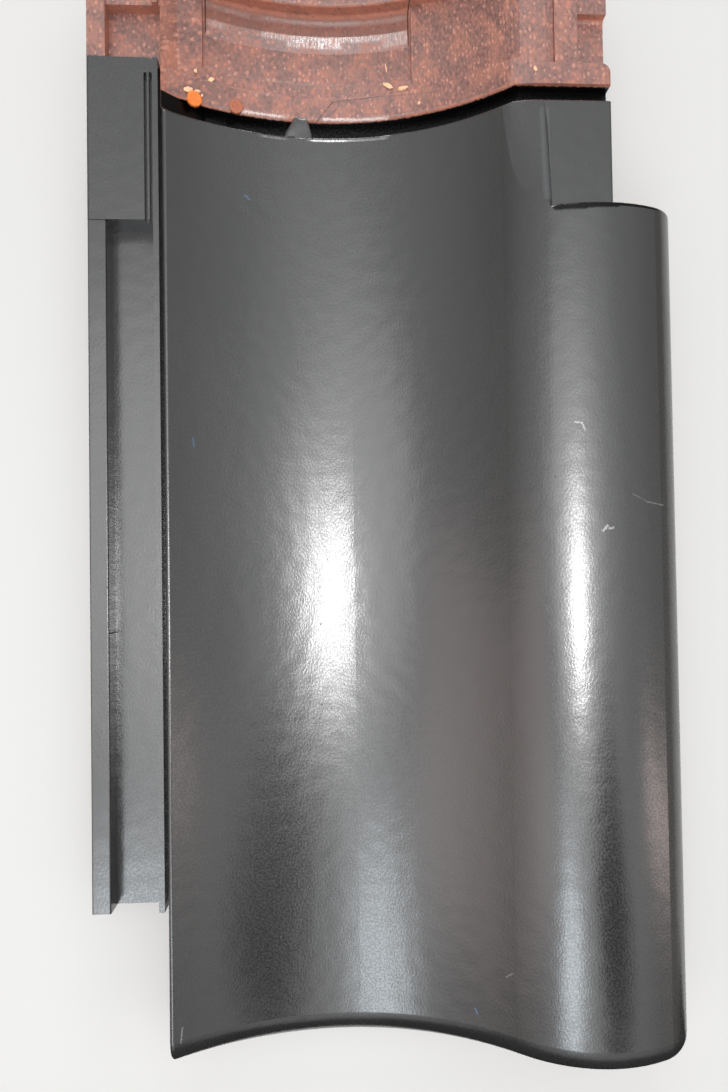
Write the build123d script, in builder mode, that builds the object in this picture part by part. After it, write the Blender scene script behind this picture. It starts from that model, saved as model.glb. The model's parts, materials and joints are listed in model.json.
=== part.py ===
from build123d import *
from math import asin, atan2, cos, degrees, radians, sin, tan
import os

# One pressed and fired interlocking pantile, in millimetres.
# X runs across the tile, Y up the slope from tail to head, Z out of the roof.
# The trough's lowest line on the upper face is z = 0, and the tail is y = 0.

# Cover sizes: the pitch from tile to tile across and up the roof
cover_width = 204.0
cover_length = 332.0
face_overlap = 33.0
head_lock = 67.0
wall = 12.0

# Section of the face, from the rim through the trough and over the roll to the lip
trough_x = -11.0
rim_height = 19.0
crest_x = 91.0
crest_height = 37.0
crest_radius = 55.0
brow_angle = 22.0
shoulder_radius = 17.0
side_angle = 82.0
lip_height = 9.0

# Water lock, left of the rim
lock_width = 29.7
lock_floor = 2.0
lock_bottom = -7.0
lock_root = 15.0
rim_groove = 2.2
rim_rib = 2.2
rim_rib_height = 13.0
outer_rib = 7.2
outer_rib_height = 12.5
lock_tail_cut = 57.0

# Corner notch: the roll drops to a shelf at the head and is cut off beyond it
notch_setback = 10.0
notch_left = 73.0
notch_right = 98.0
shelf_drop = 9.0
shelf_wall = 15.0
shelf_root = 10.0
corner_gap = 1.7
fade_step = 0.4

# Corner block that fills the lock where the next tile's notch shows it
block_height = 13.0
block_gap = 2.0
block_length = 64.0
block_corner = 5.0
block_slit = 1.2
slit_depth = 3.0
slit_inset = 6.0
slit_from_rim = 7.6

# Head lock
head_groove = 6.5
groove_depth = 6.0
head_rib = 10.5
head_rib_depth = 0.6
bed_depth = 1.8
end_rib = 15.0
end_rib_rise = 3.5
end_rib_inset = 3.0
panel_left = -60.0
panel_right = 24.0
panel_depth = 4.6
panel_inset = 5.0

# Shelf behind the head groove: a tab, a strip and a drain
tab_length = 8.5
tab_corner = 3.5
back_drop = 4.0
strip_left = 77.0
strip_right = 86.0
strip_rise = 1.5
drain_drop = 4.0
drain_length = 21.5

# Pan beside the head end of the lock
pan_height = 6.0
pan_length = 22.0
pan_end_height = 11.0

# Underside: the tail's lock rib and the pocket for the end rib of the tile below
lap_rib = 3.0
lap_rib_depth = 3.5
lap_rib_left = -66.0
lap_rib_right = 48.0
pocket_clearance = 2.0

# Hanging nibs
nib_width = 30.0
nib_thickness = 14.0
nib_drop = 16.0
nib_spacing = 70.0
nib_inset = 4.0
foot_flat = 0.5
foot_spare = 2.0

# Rounded edges
nose_radius = 10.0
head_round = 1.2
head_rib_round = 1.5
bed_round = 1.0
end_rib_round = 1.2
panel_end_round = 3.5
drain_round = 1.5
flank_round = 2.0
rim_round = 1.2
step_round = 1.0
lip_round = 1.5
rib_round = 0.6
shelf_round = 1.0
tab_round = 0.8

lock_left = notch_right + corner_gap - cover_width
rim_x = lock_left + lock_width
rim_run = trough_x - rim_x
rim_radius = (rim_run**2 + rim_height**2) / (2 * rim_height)
rim_angle = degrees(asin(rim_run / rim_radius))
roll_run = crest_x - trough_x
flank_angle = 2 * degrees(atan2(crest_height, roll_run))
flank_radius = roll_run / sin(radians(flank_angle)) - crest_radius
notch_height = crest_height - shelf_drop
back_height = notch_height - back_drop
strip_height = back_height + strip_rise
drain_height = back_height - drain_drop
reach = 60.0
overlap = 1.0
tolerance = 0.01


def across(y):
    """The section plane at a distance y up the slope, with its own y along Z."""
    return Plane.XZ.offset(-y)


def skin(y, depth_a, depth_b, left=-2 * reach, right=3 * reach):
    """The band between two lines that follow the face at these depths below it."""
    with BuildSketch(across(y)) as band:
        with BuildLine():
            ends = []
            for depth in (depth_a, depth_b):
                start = (trough_x, -depth)
                rim = JernArc(start, (-1, 0), rim_radius + depth, -rim_angle)
                flank = JernArc(start, (1, 0), flank_radius + depth, flank_angle)
                crest = JernArc(flank @ 1, flank % 1, crest_radius - depth, -flank_angle - brow_angle)
                shoulder = JernArc(crest @ 1, crest % 1, shoulder_radius - depth, brow_angle - side_angle)
                drop = (shoulder @ 1).Y - lip_height
                side = Line(shoulder @ 1, shoulder @ 1 + Vector(drop / tan(radians(side_angle)), -drop))
                ends.append((rim @ 1, side @ 1))
            Line(ends[0][0], ends[1][0])
            Line(ends[0][1], ends[1][1])
        make_face()
        with Locations((left, -reach)):
            Rectangle(right - left, 3 * reach, align=(Align.MIN, Align.MIN), mode=Mode.INTERSECT)
    return band.sketch


def radii_at(depth):
    """The radii of the section's arcs at a depth below the face."""
    return (rim_radius + depth, flank_radius + depth, crest_radius - depth, shoulder_radius - depth)


def block(y, left, right, low, high):
    """An upright rectangle in the section plane at y, given by its sides."""
    with BuildSketch(across(y)) as area:
        with Locations((left, low)):
            Rectangle(right - left, high - low, align=(Align.MIN, Align.MIN))
    return area.sketch


def over_flank(y, sunk):
    """The space over the roll's left flank, as it stands or sunk to the shelf's height."""
    with BuildSketch(across(y)) as space:
        with BuildLine():
            flank = JernArc((trough_x, 0), (1, 0), flank_radius, flank_angle, mode=Mode.PRIVATE)
            if sunk:
                floor = Spline(flank @ 1, (notch_left, notch_height), tangents=(flank % 1, (1, 0)))
            else:
                turn = degrees(asin((crest_x - notch_left) / crest_radius)) - flank_angle
                floor = JernArc(flank @ 1 + Vector(0, fade_step), flank % 1, crest_radius, turn)
            Polyline(floor @ 1, ((floor @ 1).X, reach), ((floor @ 0).X, reach), floor @ 0)
        make_face()
    return space.sketch


def wall_middle(x):
    """Height of the middle of the shell's wall, in the trough."""
    face = flank_radius if x > trough_x else rim_radius
    return face - ((face + wall / 2) ** 2 - (x - trough_x) ** 2) ** 0.5


def edges_within(part, across_x, along_y, up_z):
    """The part's edges that lie wholly between these pairs of limits."""
    found = ShapeList()
    for edge in part.edges():
        extent = edge.bounding_box()
        rows = zip(tuple(extent.min), tuple(extent.max), (across_x, along_y, up_z))
        if all(low - tolerance < near and far < high + tolerance for near, far, (low, high) in rows):
            found.append(edge)
    return found


def arcs_at(part, y, depth):
    """The part's arcs in the section plane at y that follow the face at a depth below it."""
    arcs = edges_within(part, (-3 * reach, 3 * reach), (y, y), (-reach, reach)).filter_by(GeomType.CIRCLE)
    radii = radii_at(depth)
    return [arc for arc in arcs if min(abs(arc.radius - radius) for radius in radii) < tolerance]


face_length = cover_length + face_overlap
tile_length = face_length + head_lock
notch_length = cover_length - notch_setback
block_start = notch_length + block_gap
block_end = block_start + block_length
rib_start = face_length + head_groove
bed_start = rib_start + head_rib
panel_start = bed_start + panel_inset
end_rib_start = tile_length - end_rib
end_rib_end = tile_length - end_rib_inset
tab_end = rib_start + tab_length
shelf_left = notch_left - shelf_root

# The space over the sunken panel, with soft ends
with BuildPart() as over_panel:
    panel = skin(panel_start, -wall, panel_depth, panel_left, panel_right)
    extrude(panel, amount=panel_start - end_rib_start)
    fillet(arcs_at(over_panel, panel_start, panel_depth), radius=panel_end_round)
    fillet(arcs_at(over_panel, end_rib_start, panel_depth), radius=panel_end_round)

# The space over the shelf's drain, with a soft end
with BuildPart() as over_drain:
    extrude(block(tab_end, strip_right, 3 * reach, drain_height, reach), amount=-drain_length)
    fillet(over_drain.faces().sort_by(Axis.Y)[-1].edges().sort_by(Axis.Z)[0], radius=drain_round)

with BuildPart() as tile:
    # The face: one section from the tail to the head lock, with a full round nose
    extrude(skin(0, 0, wall), amount=-face_length)
    nose_side = tile.faces().sort_by(Axis.Y)[0].edges().filter_by(GeomType.LINE).sort_by(Axis.X)[-1]
    fillet(arcs_at(tile, 0, 0) + [nose_side], radius=nose_radius)
    fillet(arcs_at(tile, face_length, 0), radius=head_round)

    # Head lock: groove, rib and bed, each its own depth below the face's line
    extrude(skin(face_length, groove_depth, wall), amount=face_length - tile_length)
    extrude(skin(rib_start, head_rib_depth, wall), amount=-head_rib)
    fillet(arcs_at(tile, rib_start, head_rib_depth), radius=head_rib_round)
    extrude(skin(bed_start, bed_depth, wall), amount=bed_start - tile_length)
    fillet(arcs_at(tile, bed_start, head_rib_depth), radius=bed_round)

    # The bed's sunken panel, and the end rib behind it
    end_rib_section = skin(end_rib_start, -end_rib_rise, wall / 2, panel_left, shelf_left)
    extrude(end_rib_section, amount=end_rib_start - end_rib_end)
    fillet(arcs_at(tile, end_rib_start, -end_rib_rise), radius=end_rib_round)
    add(over_panel.part, mode=Mode.SUBTRACT)

    # The water lock beside the rim: outer rib, channel, rim rib and groove
    extrude(block(0, rim_x - reach, rim_x, -reach, reach), amount=-tile_length, mode=Mode.SUBTRACT)
    rib_right = rim_x - rim_groove
    rib_left = rib_right - rim_rib
    with BuildSketch(across(lock_tail_cut)) as lock:
        with BuildLine():
            Polyline(
                (rim_x, rim_height),
                (rim_x, lock_floor),
                (rib_right, lock_floor),
                (rib_right, rim_rib_height),
                (rib_left, rim_rib_height),
                (rib_left, lock_floor),
                (lock_left + outer_rib, lock_floor),
                (lock_left + outer_rib, outer_rib_height),
                (lock_left, outer_rib_height),
                (lock_left, lock_bottom),
                (rim_x, lock_bottom),
                (rim_x + lock_root, wall_middle(rim_x + lock_root)),
                close=True,
            )
        make_face()
    extrude(lock.sketch, amount=lock_tail_cut - tile_length)

    # The corner block, with two slits beside the rim rib
    with BuildSketch(Plane.XY.offset(lock_bottom)) as block_plan:
        with Locations((lock_left, block_start)):
            outline = Rectangle(rib_right - lock_left, block_length, align=(Align.MIN, Align.MIN))
        fillet(outline.vertices().group_by(Axis.Y)[-1].sort_by(Axis.X)[-1], radius=block_corner)
    extrude(block_plan.sketch, amount=block_height - lock_bottom)
    slit_run = block_length - slit_inset
    for slit_left in (rim_x - slit_from_rim, rib_left - block_slit):
        slit = block(block_start, slit_left, slit_left + block_slit, block_height - slit_depth, reach)
        extrude(slit, amount=-slit_run, mode=Mode.SUBTRACT)

    # The pan between the block and the head end
    pan_end = block_end + pan_length
    pan_left = lock_left + outer_rib
    over_pan = block(block_end, pan_left, rim_x, pan_height, reach)
    extrude(over_pan, amount=block_end - pan_end, mode=Mode.SUBTRACT)
    extrude(block(block_end, pan_left, rim_x, lock_bottom, pan_height), amount=block_end - pan_end)
    extrude(block(pan_end, pan_left, rim_x, lock_bottom, pan_end_height), amount=pan_end - tile_length)

    # The corner notch: the roll is cut off to the right, and down to a shelf
    notch_run = tile_length - notch_length
    over_shelf = block(notch_length, notch_left, 3 * reach, notch_height, reach)
    extrude(over_shelf, amount=-notch_run, mode=Mode.SUBTRACT)
    beside_shelf = block(notch_length, notch_right, 3 * reach, -reach, reach)
    extrude(beside_shelf, amount=-notch_run, mode=Mode.SUBTRACT)
    shelf = block(notch_length, shelf_left, notch_right, notch_height - shelf_wall, notch_height)
    extrude(shelf, amount=-notch_run)

    # The flank sinks to the shelf's height by the end of the face
    fade_ends = [over_flank(notch_length, False), over_flank(face_length, True)]
    loft(fade_ends, ruled=True, mode=Mode.SUBTRACT)
    extrude(over_flank(face_length, True), amount=face_length - tile_length, mode=Mode.SUBTRACT)

    # The shelf behind the face: groove, tab, strip and drain
    with BuildSketch(Plane.XY.offset(notch_height - groove_depth)) as shelf_groove:
        with Locations((shelf_left, face_length)):
            Rectangle(notch_right - shelf_left, head_groove, align=(Align.MIN, Align.MIN))
    extrude(shelf_groove.sketch, amount=reach, mode=Mode.SUBTRACT)
    behind_groove = block(rib_start, notch_left, 3 * reach, back_height, reach)
    extrude(behind_groove, amount=rib_start - tile_length, mode=Mode.SUBTRACT)
    with BuildSketch(Plane.XY.offset(back_height)) as tab:
        with Locations((notch_left, rib_start)):
            outline = Rectangle(notch_right - notch_left, tab_length, align=(Align.MIN, Align.MIN))
        fillet(outline.vertices().group_by(Axis.Y)[-1].sort_by(Axis.X)[-1], radius=tab_corner)
    extrude(tab.sketch, amount=notch_height - back_height)
    strip = block(tab_end, strip_left, strip_right, drain_height, strip_height)
    extrude(strip, amount=tab_end - tile_length)
    add(over_drain.part, mode=Mode.SUBTRACT)

    # Rounded edges of the flank over the shelf, the rim, the step, the lip and the shelf
    flank_edge = edges_within(
        tile, (notch_left, notch_left), (notch_length, face_length), (notch_height, reach)
    ).filter_by(GeomType.BSPLINE)
    fillet(flank_edge, radius=flank_round)
    fillet(
        edges_within(tile, (rim_x, rim_x), (0, face_length), (rim_height, rim_height)),
        radius=rim_round,
    )
    step_edges = [arc for arc in arcs_at(tile, notch_length, 0) if arc.center().X > notch_left]
    fillet(step_edges, radius=step_round)
    lip_edges = edges_within(tile, (crest_x, 3 * reach), (0, notch_length), (lip_height, lip_height))
    fillet(lip_edges.filter_by(Axis.Y), radius=lip_round)
    shelf_edges = edges_within(
        tile, (notch_right, notch_right), (notch_length, face_length), (notch_height, notch_height)
    )
    tab_edges = edges_within(
        tile, (notch_left, notch_right), (rib_start + overlap, tab_end), (notch_height, notch_height)
    )
    fillet(shelf_edges, radius=shelf_round)
    fillet(tab_edges, radius=tab_round)

    # Rounded edges of the lock's ribs, its underside and the block
    rib_edges = edges_within(
        tile, (lock_left, rim_x), (lock_tail_cut, block_start), (outer_rib_height, rim_rib_height)
    )
    fillet(rib_edges.filter_by(Axis.Y), radius=rib_round)
    lock_edge = edges_within(
        tile, (lock_left, lock_left), (lock_tail_cut, tile_length), (lock_bottom, lock_bottom)
    )
    block_edge = edges_within(
        tile, (lock_left, lock_left), (block_start, block_end), (block_height, block_height)
    )
    fillet(lock_edge + block_edge, radius=shelf_round)

    # Underside of the tail: a rib that drops into the groove of the tile below, and
    # a pocket that clears that tile's end rib
    lap_start = face_length - cover_length + (head_groove - lap_rib) / 2
    tail_rib = skin(lap_start, wall - overlap, wall + lap_rib_depth, lap_rib_left, lap_rib_right)
    extrude(tail_rib, amount=-lap_rib)
    pocket_start = end_rib_start - cover_length - pocket_clearance
    pocket_end = end_rib_end - cover_length + pocket_clearance
    pocket_depth = end_rib_rise + pocket_clearance
    pocket = skin(
        pocket_start,
        wall - pocket_depth,
        wall + overlap,
        panel_left - pocket_clearance,
        shelf_left + pocket_clearance,
    )
    extrude(pocket, amount=pocket_start - pocket_end, mode=Mode.SUBTRACT)

    # Hanging nibs, flat underneath where the tile stands on them
    nib_start = tile_length - nib_inset - nib_thickness
    for nib_middle in (trough_x - nib_spacing / 2, trough_x + nib_spacing / 2):
        with BuildSketch(across(nib_start)) as nib:
            with BuildLine():
                nib_left = nib_middle - nib_width / 2
                nib_right = nib_middle + nib_width / 2
                Polyline(
                    (nib_left, wall_middle(nib_left)),
                    (nib_left, -wall - nib_drop - foot_spare),
                    (nib_right, -wall - nib_drop - foot_spare),
                    (nib_right, wall_middle(nib_right)),
                    close=True,
                )
            make_face()
        extrude(nib.sketch, amount=-nib_thickness)
    lap_bottom = foot_flat - wall - lap_rib_depth
    ground_run = nib_start - lap_start
    ground_fall = lap_bottom + wall + nib_drop
    ground = Plane(origin=(0, lap_start, lap_bottom), x_dir=(1, 0, 0), z_dir=(0, ground_fall, ground_run))
    split(bisect_by=ground, keep=Keep.TOP)

# The tile set down on its nibs and its lock rib, face up
lean = degrees(atan2(ground_fall, ground_run))
laid = tile.part.rotate(Axis.X, lean)
extent = laid.bounding_box()
to_origin = Vector(-extent.center().X, -extent.center().Y, -extent.min.Z)
with BuildPart() as roof_tile:
    add(laid.moved(Location(to_origin)))

print("lean", lean, "set down by", tuple(to_origin))
print("volume", roof_tile.part.volume, "centre", tuple(roof_tile.part.center()))
os.makedirs("parts", exist_ok=True)
roof_tile.part.label = "roof_tile"
export_step(roof_tile.part, "parts/roof_tile.step")
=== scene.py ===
import bpy, json, math
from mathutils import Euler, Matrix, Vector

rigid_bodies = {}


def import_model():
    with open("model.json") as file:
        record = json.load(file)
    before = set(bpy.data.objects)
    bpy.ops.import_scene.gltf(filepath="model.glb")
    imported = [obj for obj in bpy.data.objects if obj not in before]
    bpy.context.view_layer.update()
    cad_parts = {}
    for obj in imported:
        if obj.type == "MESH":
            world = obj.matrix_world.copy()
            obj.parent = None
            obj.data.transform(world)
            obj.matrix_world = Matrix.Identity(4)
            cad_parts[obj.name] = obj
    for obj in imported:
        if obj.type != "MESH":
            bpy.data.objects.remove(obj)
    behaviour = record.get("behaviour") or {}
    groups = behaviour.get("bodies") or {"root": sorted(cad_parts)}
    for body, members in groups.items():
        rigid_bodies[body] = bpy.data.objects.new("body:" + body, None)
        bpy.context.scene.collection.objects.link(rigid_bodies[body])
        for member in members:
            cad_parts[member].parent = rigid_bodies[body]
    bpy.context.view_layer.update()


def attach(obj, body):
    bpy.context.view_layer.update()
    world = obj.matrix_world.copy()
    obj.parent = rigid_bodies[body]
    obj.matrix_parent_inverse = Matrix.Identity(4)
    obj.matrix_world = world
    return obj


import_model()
cadTile = next(o for o in bpy.data.objects if o.type == "MESH" and o.name.startswith("roof_tile"))

# How the tile lies: it leans back on its nibs, and its own axes start at the tail.
# Lengths in these dictionaries are the tile's own millimetres, unless a note says otherwise.
lay = {
    "lean": math.radians(1.963226),
    "shift": (-0.009517, -0.215613, 0.013801),  # metres
    "troughX": -11.0,  # the trough's lowest line
    "rimRadius": 115.95,
    "flankRadius": 104.07,
    "shelfHeight": 28.0,
}

# The head lock lies below the face's line by these depths
headLock = {
    "rib": 0.6,
    "bed": 1.8,
    "bedStart": 382.0,
    "panel": 4.6,
    "panelStart": 387.0,
    "panelX": (-60.0, 24.0),
}


def place(x, y, z):  # from the tile's own millimetres to the frame
    return Euler((lay["lean"], 0, 0)).to_matrix() @ Vector((x, y, z)) / 1000 + Vector(lay["shift"])


def faceHeight(x):  # the upper face in the trough and on the flank
    radius = lay["rimRadius"] if x < lay["troughX"] else lay["flankRadius"]
    return radius - math.sqrt(radius ** 2 - (x - lay["troughX"]) ** 2)


def faceTilt(x):
    return math.atan2(faceHeight(x + 1) - faceHeight(x - 1), 2)


def lockDepth(x, y):
    left, right = headLock["panelX"]
    if y > headLock["panelStart"] and left < x < right:
        return headLock["panel"]
    return headLock["bed"] if y > headLock["bedStart"] else headLock["rib"]


def startClean():
    if bpy.context.object and bpy.context.object.mode != "OBJECT":
        bpy.ops.object.mode_set(mode="OBJECT")
    bpy.ops.object.select_all(action="DESELECT")


def pick(obj):
    startClean()
    obj.select_set(True)
    bpy.context.view_layer.objects.active = obj


def settle(obj):  # place, turn and size go into the mesh
    pick(obj)
    bpy.ops.object.transform_apply(location=True, rotation=True, scale=True)
    bpy.ops.object.mode_set(mode="EDIT")
    bpy.ops.mesh.select_all(action="SELECT")
    bpy.ops.mesh.normals_make_consistent(inside=False)
    bpy.ops.object.mode_set(mode="OBJECT")


def newGroup(name, inputs, outputs):
    group = bpy.data.node_groups.new(name, "ShaderNodeTree")
    for label, kind, value in inputs:
        socket = group.interface.new_socket(name=label, in_out="INPUT", socket_type="NodeSocket" + kind)
        if value is not None:
            socket.default_value = value
    for label, kind in outputs:
        group.interface.new_socket(name=label, in_out="OUTPUT", socket_type="NodeSocket" + kind)
    return group, group.nodes.new("NodeGroupInput").outputs, group.nodes.new("NodeGroupOutput").inputs


def newMaterial(name):
    material = bpy.data.materials.new(name)
    material.use_nodes = True
    return material, material.node_tree, material.node_tree.nodes["Principled BSDF"]


def addNode(tree, kind, links=None, **settings):
    node = tree.nodes.new("ShaderNode" + kind)
    for key, value in settings.items():
        setattr(node, key, value)
    for socket, source in (links or {}).items():
        if isinstance(source, bpy.types.NodeSocket):
            tree.links.new(source, node.inputs[socket])
        else:
            node.inputs[socket].default_value = source
    return node


def useGroup(tree, group, links):
    return addNode(tree, "Group", links, node_tree=group).outputs


def giveSurface(tree, shader, color, rough, height):  # the height is in millimetres
    tree.links.new(color, shader.inputs["Base Color"])
    tree.links.new(rough, shader.inputs["Roughness"])
    bump = addNode(tree, "Bump", {"Height": height, "Distance": 0.001, "Strength": 1.0})
    tree.links.new(bump.outputs[0], shader.inputs["Normal"])


def calc(tree, operation, a, b=0.0, clamp=False):
    return addNode(tree, "Math", {0: a, 1: b}, operation=operation, use_clamp=clamp).outputs[0]


def plus(tree, a, b):
    return calc(tree, "ADD", a, b)


def minus(tree, a, b, clamp=False):
    return calc(tree, "SUBTRACT", a, b, clamp)


def times(tree, a, b):
    return calc(tree, "MULTIPLY", a, b)


def over(tree, a, b, clamp=False):
    return calc(tree, "DIVIDE", a, b, clamp)


def square(tree, value):
    return calc(tree, "POWER", value, 2.0)


def fade(tree, value, low, high, toLow=0.0, toHigh=1.0):
    links = {"Value": value, "From Min": low, "From Max": high, "To Min": toLow, "To Max": toHigh}
    return addNode(tree, "MapRange", links, interpolation_type="SMOOTHSTEP").outputs[0]


def swing(tree, fac, middle, size):  # a noise's usual range, spread evenly about a middle
    return fade(tree, fac, 0.3, 0.7, middle - size, middle + size)


def between(tree, value, low, high, soft):
    rise = fade(tree, value, low - soft, low + soft)
    return times(tree, rise, fade(tree, value, high - soft, high + soft, 1.0, 0.0))


def both(tree, *masks):
    mask = masks[0]
    for other in masks[1:]:
        mask = times(tree, mask, other)
    return mask


def either(tree, *masks):
    mask = masks[0]
    for other in masks[1:]:
        mask = calc(tree, "MAXIMUM", mask, other)
    return mask


def choose(tree, mask, inside, outside):
    return plus(tree, times(tree, mask, inside), times(tree, minus(tree, 1.0, mask), outside))


def tint(tree, factor, a, b, kind="MIX"):
    colors = {6: a, 7: b}
    for index, value in colors.items():
        if not isinstance(value, bpy.types.NodeSocket):
            colors[index] = (*value, 1)
    return addNode(tree, "Mix", {"Factor": factor, **colors}, data_type="RGBA", blend_type=kind).outputs[2]


def noise(tree, vector, scale, detail=0.0, across="3D"):
    links = {"Vector": vector, "Scale": scale, "Detail": detail}
    return addNode(tree, "TexNoise", links, noise_dimensions=across).outputs["Fac"]


def vectors(tree, operation, a, b):
    return addNode(tree, "VectorMath", {0: a, 1: b}, operation=operation).outputs


def scaled(tree, vector, factor):
    return addNode(tree, "VectorMath", {0: vector, "Scale": factor}, operation="SCALE").outputs[0]


def stretched(tree, vector, scale):
    return addNode(tree, "Mapping", {"Vector": vector, "Scale": scale}).outputs[0]


def inMillimetres(tree):
    return stretched(tree, addNode(tree, "TexCoord").outputs["Object"], (1000, 1000, 1000))


# Scattered specks: a round dot in a share of the cells, and another kind of dot in a share of the rest
def makeSpecks():
    group, got, gives = newGroup(
        "scatteredSpecks",
        [("Vector", "Vector", None), ("Spacing", "Float", 5.0),
         ("Size", "Float", 0.3), ("Share", "Float", 0.5)],
        [("Mask", "Float"), ("Other", "Float")],
    )
    links = {"Vector": got["Vector"], "Scale": over(group, 1.0, got["Spacing"])}
    cells = addNode(group, "TexVoronoi", links, voronoi_dimensions="2D")
    tone = addNode(group, "SeparateColor", {0: cells.outputs["Color"]}).outputs
    away = times(group, cells.outputs["Distance"], got["Spacing"])
    size = times(group, got["Size"], plus(group, tone["Green"], 0.4))
    dot = fade(group, over(group, away, size), 1.0, 0.55)
    chosen = calc(group, "LESS_THAN", tone["Red"], got["Share"])
    rest = calc(group, "GREATER_THAN", tone["Red"], minus(group, 1.0, got["Share"]))
    group.links.new(both(group, dot, chosen), gives["Mask"])
    group.links.new(both(group, dot, rest), gives["Other"])
    return group


# A line from one point to another across the face, with a ragged edge
def makeStroke():
    group, got, gives = newGroup(
        "stroke",
        [("Flat", "Vector", None), ("From", "Vector", None), ("To", "Vector", None),
         ("Width", "Float", 0.4), ("Wobble", "Float", 0.0)],
        [("Mask", "Float")],
    )
    run = vectors(group, "SUBTRACT", got["To"], got["From"])[0]
    reach = vectors(group, "SUBTRACT", got["Flat"], got["From"])[0]
    length = vectors(group, "DOT_PRODUCT", run, run)["Value"]
    share = over(group, vectors(group, "DOT_PRODUCT", reach, run)["Value"], length, clamp=True)
    away = vectors(group, "DISTANCE", reach, scaled(group, run, share))["Value"]
    away = plus(group, over(group, away, got["Width"]), got["Wobble"])
    group.links.new(fade(group, away, 0.75, 0.35), gives["Mask"])
    return group


glazeLook = {
    "cloud": (0.02, 0.008, 0.02),  # broad changes of tone, drawn out along the slope
    "cloudTone": 0.14,
    "grain": 1.1,
    "grainTone": 0.1,
    "pinholes": {"Spacing": 17.0, "Size": 0.42, "Share": 0.3},
    "pinholeTone": 0.25,
    "peel": (1.3, 0.8, 1.3),
    "swell": 0.17,
    "swellHeight": 2.0,  # against the peel's
}


# Satin glaze: cloudy tone, pinholes and orange peel
def makeGlaze(specks, look):
    group, got, gives = newGroup(
        "satinGlaze",
        [("Vector", "Vector", None), ("Color", "Color", (0.02, 0.02, 0.02, 1)),
         ("Roughness", "Float", 0.25), ("Peel", "Float", 0.01)],
        [("Color", "Color"), ("Roughness", "Float"), ("Height", "Float")],
    )
    vector = got["Vector"]
    cloud = noise(group, stretched(group, vector, look["cloud"]), 1.0, 1.0, "2D")
    grain = noise(group, vector, look["grain"], 1.0, "2D")
    pinholes = useGroup(group, specks, {"Vector": vector, **look["pinholes"]})["Mask"]
    grainy = swing(group, grain, 0.0, look["grainTone"])
    tone = plus(group, swing(group, cloud, 1.0, look["cloudTone"]), grainy)
    tone = times(group, tone, fade(group, pinholes, 0.0, 1.0, 1.0, look["pinholeTone"]))
    group.links.new(scaled(group, got["Color"], tone), gives["Color"])
    rough = plus(group, got["Roughness"], fade(group, grain, 0.3, 0.7, -0.03, 0.035))
    rough = plus(group, rough, swing(group, cloud, 0.0, 0.02))
    group.links.new(plus(group, rough, times(group, pinholes, 0.3)), gives["Roughness"])
    peel = noise(group, stretched(group, vector, look["peel"]), 1.0, 1.0, "2D")
    swell = noise(group, vector, look["swell"], 0.0, "2D")
    peel = plus(group, peel, times(group, swell, look["swellHeight"]))
    group.links.new(times(group, peel, got["Peel"]), gives["Height"])
    return group


clayLook = {
    "drawn": (1.0, 0.68, 1.0),  # the specks are a little longer up the slope
    "streaks": 0.8,
    "patches": 0.11,
    "patchCover": 0.22,
    "bareStreaks": 0.6,
    "fine": 3.0,
    "dark": (0.72, 0.57, 0.53),
    "dots": {"Spacing": 1.9, "Size": 0.55, "Share": 0.34},
    "paleDot": (0.5, 0.215, 0.145),
    "darkDot": (0.085, 0.035, 0.024),
    "streakHeight": 0.12,
    "fineHeight": 0.05,
}


# Fired clay with a thin film of sprayed glaze
def makeClay(specks, look):
    group, got, gives = newGroup(
        "firedClay",
        [("Vector", "Vector", None), ("Clay", "Color", (0.4, 0.15, 0.08, 1)),
         ("Film", "Color", (0.2, 0.13, 0.11, 1)), ("Cover", "Float", 0.7)],
        [("Color", "Color"), ("Roughness", "Float"), ("Height", "Float")],
    )
    vector = got["Vector"]
    drawn = stretched(group, vector, look["drawn"])
    streaks = noise(group, drawn, look["streaks"], 1.0)
    patches = noise(group, vector, look["patches"], 1.0, "2D")
    fine = noise(group, vector, look["fine"])
    cover = plus(group, got["Cover"], swing(group, patches, 0.0, look["patchCover"]))
    cover = minus(group, cover, fade(group, streaks, 0.53, 0.7, 0.0, look["bareStreaks"]), clamp=True)
    clay = tint(group, fade(group, fine, 0.3, 0.7), got["Clay"], (1.0, 1.0, 1.0), "MULTIPLY")
    dark = tint(group, fade(group, streaks, 0.46, 0.32), (1.0, 1.0, 1.0), look["dark"])
    color = tint(group, cover, clay, tint(group, 1.0, got["Film"], dark, "MULTIPLY"))
    dots = useGroup(group, specks, {"Vector": drawn, **look["dots"]})
    color = tint(group, times(group, dots["Mask"], 0.62), color, look["paleDot"])
    color = tint(group, times(group, dots["Other"], 0.42), color, look["darkDot"])
    group.links.new(color, gives["Color"])
    group.links.new(fade(group, cover, 0.2, 0.9, 0.75, 0.5), gives["Roughness"])
    height = plus(group, times(group, streaks, look["streakHeight"]), times(group, fine, look["fineHeight"]))
    group.links.new(height, gives["Height"])
    return group


specks = makeSpecks()
stroke = makeStroke()
satinGlaze = makeGlaze(specks, glazeLook)
firedClay = makeClay(specks, clayLook)
print("shared effects ready")

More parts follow.
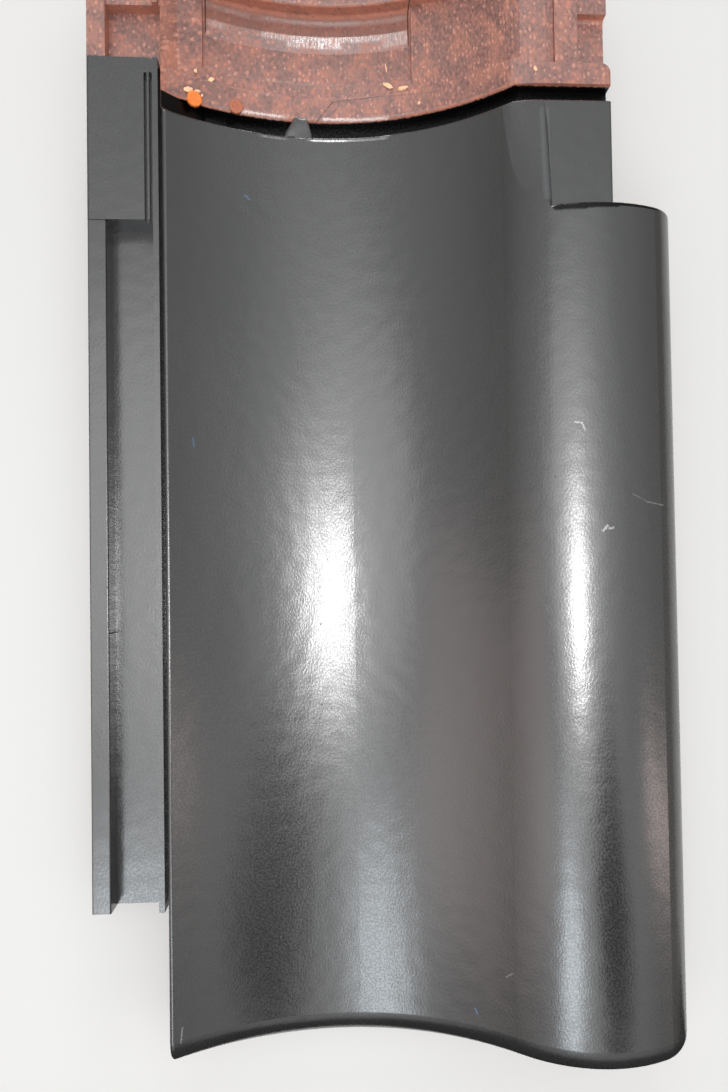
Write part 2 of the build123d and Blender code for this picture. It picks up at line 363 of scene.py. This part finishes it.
# The one fired piece: glaze over clay
finish = {
    "glaze": (0.0145, 0.0148, 0.0148, 1),
    "glazeRoughness": 0.25,
    "glazePeel": 0.03,
    "glazeIor": 1.9,
    "clay": (0.41, 0.143, 0.086, 1),
    "film": (0.172, 0.069, 0.053, 1),
    "filmCover": (0.88, 0.92),  # on the left and on the right of the head lock
    "wallCover": 0.14,  # upright walls catch little spray
    "groove": (365.0, 371.4),  # along the slope
    "grooveGlazeDepth": 1.9,
    "overrunX": -63.5,  # at the groove's left end the glaze ran over the clay too
    "blockEnd": 388.0,
    "rimX": -74.6,
    "innerLip": ((100.0, 104.0), (12.0, 14.0)),  # bare from this X and this Y on
    # where the sprayed film is glossier, and painted lighter there as a painted glint: X from, X to, Y from,
    # Y to
    "glossAndPaintedGlint": [
        (-37.0, 23.0, 407.2, 409.6), (-27.0, -4.0, 404.6, 408.0), (13.0, 23.0, 404.0, 408.0),
        (-57.5, -51.0, 407.0, 409.3), (-49.0, -27.0, 371.5, 373.4), (-12.5, 14.5, 371.4, 373.0),
    ],
    "paintedGlintColor": (0.36, 0.27, 0.25),
    "panelX": (-59.0, 23.2),
    "ramp": (402.3, 409.6, 3.3),  # the panel's upper end slopes up: Y from, Y to, height
    # painted shade at the panel's upper end
    "panelEndShade": (416.3, (0.15, 0.042, 0.022)),  # Y to, colour
    "seam": (6.0, 0.082),  # where the trough's two curves meet softly: reach and height
    "crease": (-2.0, 24.0, 0.55),  # a faint crease that the press left: X, reach and height
    # stains, scratches and painted highlights: from, to, width, colour, strength
    "marksAndPaintedGlints": [
        ((-44.3, 338.0), (-42.4, 336.6), 0.55, (0.025, 0.085, 0.16), 0.8),
        ((-64.5, 238.5), (-64.0, 235.5), 0.5, (0.025, 0.08, 0.15), 0.7),
        ((41.6, 16.6), (42.4, 14.6), 0.5, (0.03, 0.1, 0.2), 0.7),
        ((78.6, 240.0), (81.2, 239.4), 0.45, (0.42, 0.43, 0.42), 0.6),
        ((81.2, 239.4), (82.2, 237.0), 0.4, (0.42, 0.43, 0.42), 0.6),
        ((88.0, 199.6), (89.6, 201.2), 0.75, (0.33, 0.33, 0.36), 0.8),
        ((90.4, 200.2), (91.8, 200.6), 0.6, (0.33, 0.33, 0.36), 0.7),
        ((99.7, 212.9), (105.5, 210.2), 0.26, (0.16, 0.16, 0.16), 0.5),
        ((105.5, 210.2), (112.5, 209.1), 0.3, (0.18, 0.18, 0.18), 0.6),
        ((52.4, 31.6), (54.6, 33.6), 0.35, (0.2, 0.18, 0.17), 0.5),
        ((-70.6, 9.8), (-70.1, 15.0), 0.35, (0.25, 0.25, 0.25), 0.6),
        ((-17.6, 368.4), (-8.1, 379.9), 0.42, (0.05, 0.02, 0.015), 0.9),
        # painted highlights: pale lines along the head rib's lower edge
        ((-48.0, 372.2), (-39.0, 372.7), 0.7, (0.62, 0.5, 0.47), 0.75),
        ((-39.0, 372.7), (-29.5, 372.5), 0.7, (0.62, 0.5, 0.47), 0.75),
        ((-11.9, 372.8), (1.0, 372.2), 0.75, (0.62, 0.5, 0.47), 0.75),
        ((1.0, 372.2), (13.8, 371.9), 0.6, (0.62, 0.5, 0.47), 0.75),
        ((-8.1, 379.9), (11.1, 381.3), 0.4, (0.07, 0.03, 0.022), 0.75),
        ((11.1, 381.3), (33.8, 379.0), 0.36, (0.1, 0.045, 0.035), 0.5),
    ],
    # painted shade: dark lines at the crest's end beside the step, where shade falls and a dark reflection
    # shows: from, to, width
    "paintedShadeLines": [
        ((74.0, 321.0), (84.0, 320.5), 2.6), ((84.0, 320.5), (96.0, 320.9), 2.0),
        ((96.0, 320.9), (113.0, 321.3), 1.1),
    ],
    # near-black colour of the painted shade
    "paintedShadeColor": (0.004, 0.004, 0.004),
    # painted highlight: a soft pale line along the edge beside the shelf: from, to, width, colour
    "paintedEdgeHighlight": ((71.7, 360.5), (71.4, 326.0), 3.4, (0.05, 0.053, 0.056)),
    # beads of glaze along the face's upper edge: X from, X to
    "beads": [(-18.0, 13.0), (-37.0, -27.5)],
    "beadSpan": (363.2, 364.7),  # along the slope
    "beadHeight": 0.43,
    # pits with a dark rim: place and size
    "pits": [
        ((86.4, 169.4), 0.9), ((73.4, 137.2), 0.7), ((85.2, 137.0), 0.7), ((78.8, 118.6), 0.9),
        ((78.6, 79.6), 1.2), ((-69.4, 130.0), 1.3), ((84.8, 43.6), 0.8), ((3.2, 188.0), 0.8),
        ((-56.0, 165.0), 0.5), ((22.0, 96.0), 0.5),
    ],
    "pitColor": (0.004, 0.004, 0.005),
}

glazedClay, tree, shader = newMaterial("glazedClay")
shader.inputs["IOR"].default_value = finish["glazeIor"]
coordinates = addNode(tree, "TexCoord").outputs
back = Euler((-lay["lean"], 0, 0)).to_matrix() @ Vector(lay["shift"]) * -1000
turnedBack = {"Location": back, "Rotation": (-lay["lean"], 0, 0), "Scale": (1000, 1000, 1000)}
# the tile's own millimetres: X across, Y up the slope, Z out
own = addNode(tree, "Mapping", {"Vector": coordinates["Object"], **turnedBack}).outputs[0]
ownX, ownY, ownZ = addNode(tree, "SeparateXYZ", {0: own}).outputs
faceX, _, faceZ = addNode(tree, "SeparateXYZ", {0: coordinates["Normal"]}).outputs
flat = vectors(tree, "MULTIPLY", own, (1, 1, 0))[0]
# slanted with the height, so that flat patterns aren't drawn out on upright walls
upright = addNode(tree, "CombineXYZ", {0: ownZ, 1: ownZ}).outputs[0]
slant = {0: upright, 1: (0.62, 0.75, 0), 2: own}
slanted = addNode(tree, "VectorMath", slant, operation="MULTIPLY_ADD").outputs[0]

faceUp = fade(tree, faceZ, 0.2, 0.4)
outward = fade(tree, faceZ, -0.55, -0.3)
ragged = times(tree, minus(tree, noise(tree, own, 0.6, 1.0, "2D"), 0.5), 1.5)
frayed = times(tree, minus(tree, noise(tree, own, 1.5, 1.0, "2D"), 0.5), 2.2)

# depth below the face's line, in the trough and at the shelf
fromTrough = minus(tree, ownX, lay["troughX"])
onFlank = calc(tree, "GREATER_THAN", ownX, lay["troughX"])
radius = fade(tree, onFlank, 0.0, 1.0, lay["rimRadius"], lay["flankRadius"])
fromMiddle = plus(tree, square(tree, fromTrough), square(tree, minus(tree, radius, ownZ)))
depth = minus(tree, calc(tree, "SQRT", fromMiddle), radius)
depth = calc(tree, "MINIMUM", depth, minus(tree, lay["shelfHeight"], ownZ))
overrunX = finish["overrunX"]
overrun = fade(tree, plus(tree, ownX, ragged), overrunX + 1.5, overrunX - 1.5, 0.0, 6.0)
depth = calc(tree, "MAXIMUM", depth, overrun)

# where the glaze lies: on the face, in the groove and on the corner block, but not inside the lip
grooveStart, grooveEnd = finish["groove"]
glazeDepth = finish["grooveGlazeDepth"]
rimX, blockEnd = finish["rimX"], finish["blockEnd"]
onFace = both(tree, fade(tree, ownY, grooveStart + 0.2, grooveStart - 0.2), outward)
rightOfRim = fade(tree, ownX, rimX - 0.4, rimX + 0.4)
alongGroove = between(tree, ownY, grooveStart, grooveEnd + 0.25, 0.15)
deepEnough = fade(tree, plus(tree, depth, ragged), glazeDepth - 0.3, glazeDepth + 0.3)
inGroove = both(tree, rightOfRim, alongGroove, deepEnough, outward)
leftOfRim = fade(tree, ownX, rimX + 0.2, rimX - 0.2)
belowSpray = fade(tree, plus(tree, ownY, ragged), blockEnd + 1.2, blockEnd + 0.2)
onBlock = both(tree, leftOfRim, belowSpray, outward)
lipX, lipY = finish["innerLip"]
innerLip = both(tree, fade(tree, ownX, *lipX), fade(tree, faceX, -0.4, -0.7), fade(tree, ownY, *lipY))
glazed = minus(tree, either(tree, onFace, inGroove, onBlock), innerLip, clamp=True)

glazeKnobs = {"Color": finish["glaze"], "Roughness": finish["glazeRoughness"], "Peel": finish["glazePeel"]}
glaze = useGroup(tree, satinGlaze, {"Vector": own, **glazeKnobs})
cover = both(
    tree,
    fade(tree, faceZ, 0.55, 0.85, finish["wallCover"], 1.0),
    fade(tree, ownX, 25.0, 55.0, *finish["filmCover"]),
)
clayKnobs = {"Clay": finish["clay"], "Film": finish["film"], "Cover": cover}
clay = useGroup(tree, firedClay, {"Vector": slanted, **clayKnobs})

# the film is glossier in streaks, and painted lighter there as a painted highlight
streaks = noise(tree, stretched(tree, own, (1.7, 0.22, 1.7)), 1.0, 1.0, "2D")
film = either(tree, *[
    both(tree, between(tree, ownX, left, right, 1.2), between(tree, ownY, low, high, 0.9))
    for left, right, low, high in finish["glossAndPaintedGlint"]
])
film = both(tree, film, fade(tree, streaks, 0.34, 0.6, 0.25, 1.0), faceUp)

rampStart, rampEnd, rampHeight = finish["ramp"]
rampKnobs = {"Value": ownY, "From Min": rampStart, "From Max": rampEnd, "To Max": rampHeight}
ramp = addNode(tree, "MapRange", rampKnobs).outputs[0]
acrossPanel = between(tree, ownX, *finish["panelX"], 0.3)
beyondEnd, panelEndShadeColor = finish["panelEndShade"]
panelEndShade = both(tree, acrossPanel, between(tree, ownY, rampEnd, beyondEnd, 0.5))

# painted highlight: the glossy film patches are painted lighter
color = tint(tree, times(tree, film, 0.6), clay["Color"], finish["paintedGlintColor"])
color = tint(tree, glazed, color, glaze["Color"])
# painted shade: the panel's upper end is painted darker
color = tint(tree, times(tree, panelEndShade, 0.65), color, panelEndShadeColor)
rough = choose(tree, glazed, glaze["Roughness"], clay["Roughness"])
rough = minus(tree, rough, times(tree, film, 0.28))
height = choose(tree, either(tree, onFace, onBlock), glaze["Height"], clay["Height"])
height = plus(tree, height, both(tree, acrossPanel, ramp))

bead = either(tree, *[between(tree, ownX, left, right, 2.5) for left, right in finish["beads"]])
bead = both(tree, bead, between(tree, ownY, *finish["beadSpan"], 0.6))
height = choose(tree, bead, finish["beadHeight"], height)

# the soft seam and the crease in the trough
seamReach, seamHeight = finish["seam"]
offSeam = over(tree, calc(tree, "ABSOLUTE", fromTrough), seamReach, clamp=True)
soft = times(tree, square(tree, minus(tree, 1.0, offSeam)), seamHeight)
creaseX, creaseReach, creaseHeight = finish["crease"]
pastCrease = over(tree, minus(tree, ownX, creaseX), creaseReach, clamp=True)
crease = minus(tree, pastCrease, times(tree, square(tree, pastCrease), 0.5))
press = plus(tree, soft, times(tree, crease, creaseHeight))
height = plus(tree, height, both(tree, press, onFace, fade(tree, faceZ, 0.3, 0.6)))


def strokeMask(start, end, width, wobble):
    links = {"Flat": flat, "From": (*start, 0), "To": (*end, 0), "Width": width, "Wobble": wobble}
    return useGroup(tree, stroke, links)["Mask"]


# among these, the pale lines along the head rib's edge are painted highlights
for start, end, width, shade, strength in finish["marksAndPaintedGlints"]:
    mask = both(tree, strokeMask(start, end, width, frayed), strength, faceUp)
    color = tint(tree, mask, color, shade)
    rough = plus(tree, rough, times(tree, mask, 0.25))
# painted highlight beside the shelf
start, end, width, shade = finish["paintedEdgeHighlight"]
mask = strokeMask(start, end, width, times(tree, frayed, 0.08))
color = tint(tree, both(tree, mask, 0.6, faceUp), color, shade)
for (x, y), size in finish["pits"]:
    ring = vectors(tree, "DISTANCE", flat, (x, y, 0))["Value"]
    pit = both(tree, fade(tree, ring, size * 0.8, size * 0.25), faceUp)
    color = tint(tree, times(tree, pit, 0.75), color, finish["pitColor"])

# painted shade: the groove's deep part and the dark lines beside the step are painted near-black, and made
# metallic so that they reflect almost nothing
paintedShadeMask = both(tree, inGroove, fade(tree, depth, glazeDepth + 0.2, glazeDepth + 1.2))
evenEdge = times(tree, frayed, 0.15)
for start, end, width in finish["paintedShadeLines"]:
    paintedShadeMask = either(tree, paintedShadeMask, both(tree, strokeMask(start, end, width, evenEdge), faceUp))
color = tint(tree, times(tree, paintedShadeMask, 0.9), color, finish["paintedShadeColor"])
tree.links.new(times(tree, paintedShadeMask, 0.85), shader.inputs["Metallic"])
giveSurface(tree, shader, color, rough, height)

if not cadTile.material_slots:
    cadTile.data.materials.append(glazedClay)
for slot in cadTile.material_slots:
    slot.material = glazedClay
print("glazed clay ready")

# Bare clay that shows at the firing marks and crumbs
bareClay = {"orange": (0.86, 0.21, 0.035), "dull": (0.42, 0.135, 0.07), "pale": (0.86, 0.52, 0.3)}


def makeBareClay(name, base):
    material, nodes, surface = newMaterial(name)
    grit = inMillimetres(nodes)
    grain = noise(nodes, grit, 2.8, 2.0)
    dots = useGroup(nodes, specks, {"Vector": grit, "Spacing": 0.9, "Size": 0.25, "Share": 0.4})["Mask"]
    shade = tint(nodes, fade(nodes, grain, 0.35, 0.65), [c * 0.78 for c in base], base)
    shade = tint(nodes, times(nodes, dots, 0.5), shade, [c * 0.5 for c in base])
    height = minus(nodes, times(nodes, grain, 0.08), times(nodes, dots, 0.05))
    giveSurface(nodes, surface, shade, fade(nodes, grain, 0.3, 0.7, 0.55, 0.8), height)
    return material


orangeClay = makeBareClay("orangeClay", bareClay["orange"])
dullClay = makeBareClay("dullClay", bareClay["dull"])
paleClay = makeBareClay("paleClay", bareClay["pale"])


def addPiece(obj, material):
    obj.data.materials.clear()
    obj.data.materials.append(material)
    pick(obj)
    bpy.ops.object.shade_smooth()
    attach(obj, "root")


# Firing marks: round spots on the head rib where the glaze came off with the prop
firingMarks = {
    # name, x, y, radius, material
    "spots": [
        ("firingMarkLeft", -62.9, 372.6, 2.95, orangeClay),
        ("firingMarkRight", -47.2, 373.7, 2.8, dullClay),
    ],
    "thick": 1.35,
    "rise": 0.42,
    "rings": [(0.45, 0.22), (0.7, -0.12)],  # how far in, how far up
    "core": 0.6,
    "ragged": 0.13,
}


def makeSpot(name, x, y, size, material):
    startClean()
    bpy.ops.mesh.primitive_cylinder_add(vertices=28, radius=size / 1000, depth=firingMarks["thick"] / 1000)
    spot = bpy.context.object
    spot.name = name
    bpy.ops.object.mode_set(mode="EDIT")
    bpy.ops.mesh.select_mode(type="FACE")
    bpy.ops.mesh.select_all(action="DESELECT")
    bpy.ops.object.mode_set(mode="OBJECT")
    for face in spot.data.polygons:
        face.select = face.normal.z > 0.9
    bpy.ops.object.mode_set(mode="EDIT")
    for inward, up in firingMarks["rings"]:
        bpy.ops.mesh.inset(thickness=inward / 1000)
        bpy.ops.transform.translate(value=(0, 0, up / 1000))
    bpy.ops.mesh.inset(thickness=firingMarks["core"] / 1000)
    bpy.ops.mesh.poke()
    bpy.ops.mesh.select_all(action="SELECT")
    bpy.ops.mesh.subdivide(number_cuts=1)
    bpy.ops.transform.vertex_random(offset=firingMarks["ragged"] / 1000, uniform=0.4, normal=0.6, seed=7)
    bpy.ops.object.mode_set(mode="OBJECT")
    spot.rotation_euler = (lay["lean"], -faceTilt(x), 0)
    top = faceHeight(x) - headLock["rib"] + firingMarks["rise"]
    spot.location = place(x, y, top - firingMarks["thick"] / 2)
    settle(spot)
    addPiece(spot, material)


for spotValues in firingMarks["spots"]:
    makeSpot(*spotValues)
print("firing marks ready")

# Crumbs of pale clay baked on to the head lock
crumbs = {
    # x, y, length, width, turn in degrees
    "places": [
        (-62.4, 384.7, 2.6, 1.3, 100), (-56.5, 383.0, 3.4, 2.1, 60), (-61.6, 376.1, 2.8, 1.1, 10),
        (-60.0, 374.8, 1.8, 1.0, 80), (14.4, 385.9, 4.6, 2.0, -35), (20.4, 383.9, 4.3, 1.8, 5),
        (14.1, 394.7, 3.6, 0.6, 100), (26.5, 375.8, 1.6, 1.1, 60), (68.6, 377.0, 2.2, 1.7, 100),
        (-65.0, 375.7, 3.6, 2.4, 30),
    ],
    "thick": 0.7,
    "rise": 0.1,
    "shelfStart": 60.0,  # beyond this X a crumb lies on the shelf
    "shelfDepth": 0.2,
}


def makeCrumb(number, x, y, long, wide, turn):
    startClean()
    bpy.ops.mesh.primitive_ico_sphere_add(subdivisions=3, radius=0.5)
    crumb = bpy.context.object
    crumb.name = f"clayCrumb{number + 1}"
    bpy.ops.object.mode_set(mode="EDIT")
    bpy.ops.mesh.select_all(action="SELECT")
    bpy.ops.transform.vertex_random(offset=0.16, uniform=0.7, normal=0.5, seed=number + 3)
    bpy.ops.mesh.vertices_smooth(factor=0.5, repeat=1)
    bpy.ops.object.mode_set(mode="OBJECT")
    crumb.scale = (long / 1000, wide / 1000, crumbs["thick"] / 1000)
    ground, tilt = lay["shelfHeight"] - crumbs["shelfDepth"], 0.0
    if x <= crumbs["shelfStart"]:
        ground, tilt = faceHeight(x) - lockDepth(x, y), faceTilt(x)
    crumb.rotation_euler = Euler((lay["lean"], -tilt, math.radians(turn)), "XYZ")
    crumb.location = place(x, y, ground + crumbs["rise"])
    settle(crumb)
    addPiece(crumb, paleClay)


for number, crumbValues in enumerate(crumbs["places"]):
    makeCrumb(number, *crumbValues)
print("crumbs ready")

# A lump of glaze that ran across the groove
lump = {
    "x": -22.2,
    "width": 12.5,
    "start": 361.0,
    "end": 373.0,
    "floor": -6.0,
    "top": -0.2,
    "narrowing": [(0.45, 0.42), (0.2, 0.62), (-0.05, 0.85)],  # share of the length, share of the width
    "ragged": 0.5,
    "turn": (5, -8),  # degrees sideways, degrees about its upright
    "glaze": {"Color": (0.016, 0.016, 0.016, 1), "Roughness": 0.34, "Peel": 0.06},
}

lumpGlaze, lumpTree, lumpShader = newMaterial("lumpGlaze")
lumpShader.inputs["IOR"].default_value = finish["glazeIor"]
lumpGot = useGroup(lumpTree, satinGlaze, {"Vector": inMillimetres(lumpTree), **lump["glaze"]})
giveSurface(lumpTree, lumpShader, lumpGot["Color"], lumpGot["Roughness"], lumpGot["Height"])

startClean()
bpy.ops.mesh.primitive_cube_add(size=1)
glazeLump = bpy.context.object
glazeLump.name = "glazeLump"
lumpLength, lumpHeight = lump["end"] - lump["start"], lump["top"] - lump["floor"]
glazeLump.scale = (lump["width"] / 1000, lumpLength / 1000, lumpHeight / 1000)
bpy.ops.object.transform_apply(location=False, rotation=False, scale=True)
bpy.ops.object.mode_set(mode="EDIT")
bpy.ops.mesh.select_all(action="SELECT")
bpy.ops.mesh.subdivide(number_cuts=3)
bpy.ops.mesh.select_mode(type="VERT")
for line, squeeze in lump["narrowing"]:
    bpy.ops.mesh.select_all(action="DESELECT")
    bpy.ops.object.mode_set(mode="OBJECT")
    edge = line * lumpLength / 1000
    for vertex in glazeLump.data.vertices:
        vertex.select = abs(vertex.co.y - edge) < 0.0011
    bpy.ops.object.mode_set(mode="EDIT")
    bpy.ops.transform.resize(value=(squeeze, 1, 1))
bpy.ops.mesh.select_all(action="SELECT")
bpy.ops.transform.vertex_random(offset=lump["ragged"] / 1000, uniform=0.7, seed=5)
bpy.ops.object.mode_set(mode="OBJECT")
bpy.ops.object.modifier_add(type="SUBSURF")
glazeLump.modifiers[-1].levels = 2
glazeLump.modifiers[-1].render_levels = 2
bpy.ops.object.modifier_apply(modifier=glazeLump.modifiers[-1].name)
glazeLump.rotation_euler = (lay["lean"], *(math.radians(turn) for turn in lump["turn"]))
lumpMiddle = faceHeight(lump["x"]) + (lump["top"] + lump["floor"]) / 2
glazeLump.location = place(lump["x"], (lump["start"] + lump["end"]) / 2, lumpMiddle)
settle(glazeLump)
addPiece(glazeLump, lumpGlaze)
print("lump ready")

# Floor, light and camera; metres from here on
studio = {
    "floor": (0.56, 0.56, 0.55),
    "floorSize": 6,
    "keyPlace": (-2, 168, 620),  # the tile's own millimetres
    "keySize": (0.115, 0.2),
    "keyPower": 1.5,
    "walls": (0.3, 0.28, 0.265),
    "ceiling": (0.9, 0.91, 0.92),
    # black cards that only the tile's reflections see: place, way it faces, width, height
    "cards": [
        ("sideCard", (0.337403, -0.570095, 1.000575), (0.29, -0.49, 0.86), 0.4, 0.5),
        ("noseCard", (-0.01, -0.4175, 0.1215), (0.0, 0.544639, 0.838671), 0.6, 0.435),
    ],
    "tileMiddle": (0, 0, 0.02),  # the windows stand around it
    # soft windows: towards, distance, width, height, colour, power
    "windows": [
        ("wideGlow", (0.0, -0.03, 1.0), 1.9, 2.2, 2.5, (1.0, 1.0, 1.0), 5.5),
        ("tailGlow", (0.0, -0.5, 0.87), 1.95, 3.6, 0.9, (1.0, 0.94, 0.9), 2.6),
        ("nearGlow", (-0.13, 0.02, 1.0), 1.85, 1.2, 1.6, (1.0, 1.0, 1.0), 5.8),
        ("tailWindow", (-0.235, -0.55, 0.82), 1.5, 0.36, 0.36, (0.84, 0.93, 1.0), 2.7),
        ("sideWindow", (0.8, -0.34, 0.5), 1.3, 0.14, 0.46, (1.0, 0.8, 0.75), 0.75),
        ("headWindow", (0.02, 0.94, 0.33), 1.5, 0.4, 0.4, (1.0, 1.0, 1.0), 7.0),
        ("warmWall", (-0.74, -0.28, 0.66), 1.5, 0.85, 0.9, (1.0, 0.8, 0.75), 2.0),
    ],
}


def paint(name, color, roughness):
    material, _, surface = newMaterial(name)
    surface.inputs["Base Color"].default_value = (*color, 1)
    surface.inputs["Roughness"].default_value = roughness
    return material


def facing(direction):
    return Vector(direction).to_track_quat("Z", "Y").to_euler()


startClean()
bpy.ops.mesh.primitive_plane_add(size=studio["floorSize"], location=(0, 0, 0))
floor = bpy.context.object
floor.name = "floor"
floor.data.materials.append(paint("floorPaint", studio["floor"], 0.85))

startClean()
bpy.ops.object.light_add(type="AREA", location=place(*studio["keyPlace"]))
key = bpy.context.object
key.name = "keyLight"
key.data.energy = studio["keyPower"]
key.data.shape = "ELLIPSE"
key.data.size, key.data.size_y = studio["keySize"]

for name, direction, distance, width, tall, shade, power in studio["windows"]:
    startClean()
    spot = Vector(studio["tileMiddle"]) + Vector(direction).normalized() * distance
    bpy.ops.object.light_add(type="AREA", location=spot, rotation=facing(direction))
    window = bpy.context.object
    window.name = name
    window.data.shape = "ELLIPSE" if name.endswith("Glow") else "RECTANGLE"
    window.data.size, window.data.size_y = width, tall
    window.data.color = shade
    window.data.energy = power

# the roll's side and the nose reflect something dark
cardPaint = paint("cardPaint", (0.01, 0.01, 0.01), 1.0)
for name, spot, direction, width, tall in studio["cards"]:
    startClean()
    bpy.ops.mesh.primitive_plane_add(size=1, location=spot, rotation=facing(direction))
    card = bpy.context.object
    card.name = name
    card.scale = (width, tall, 1)
    bpy.ops.object.transform_apply(location=True, rotation=True, scale=True)
    card.data.materials.append(cardPaint)
    card.visible_camera = False
    card.visible_shadow = False
    card.visible_diffuse = False

world = bpy.data.worlds.new("room")
bpy.context.scene.world = world
world.use_nodes = True
room = world.node_tree
toward = addNode(room, "TexCoord").outputs["Generated"]
upward = addNode(room, "SeparateXYZ", {0: toward}).outputs[2]
daylight = tint(room, fade(room, upward, 0.1, 0.95), studio["walls"], studio["ceiling"])
room.links.new(daylight, room.nodes["Background"].inputs["Color"])

view = {
    "place": (-0.02638, -0.04724, 0.35001),
    "turn": (0.057914, -0.055367, -0.016508),
    "frame": (728, 1092),
    "focal": 814.5,  # in the frame's pixels
    "middle": (363.7, 569.2),  # where the view's axis meets the frame
    "sensor": 36,
}
frameWidth, frameHeight = view["frame"]
startClean()
bpy.ops.object.camera_add(location=view["place"], rotation=view["turn"])
camera = bpy.context.object
camera.name = "camera"
camera.data.sensor_width = view["sensor"]
camera.data.sensor_fit = "AUTO"
camera.data.lens = view["focal"] / frameHeight * view["sensor"]
camera.data.shift_x = (frameWidth / 2 - view["middle"][0]) / frameHeight
camera.data.shift_y = (view["middle"][1] - frameHeight / 2) / frameHeight
camera.data.clip_start = 0.005
bpy.context.scene.camera = camera
bpy.context.scene.view_settings.view_transform = "Standard"

print("scene ready")
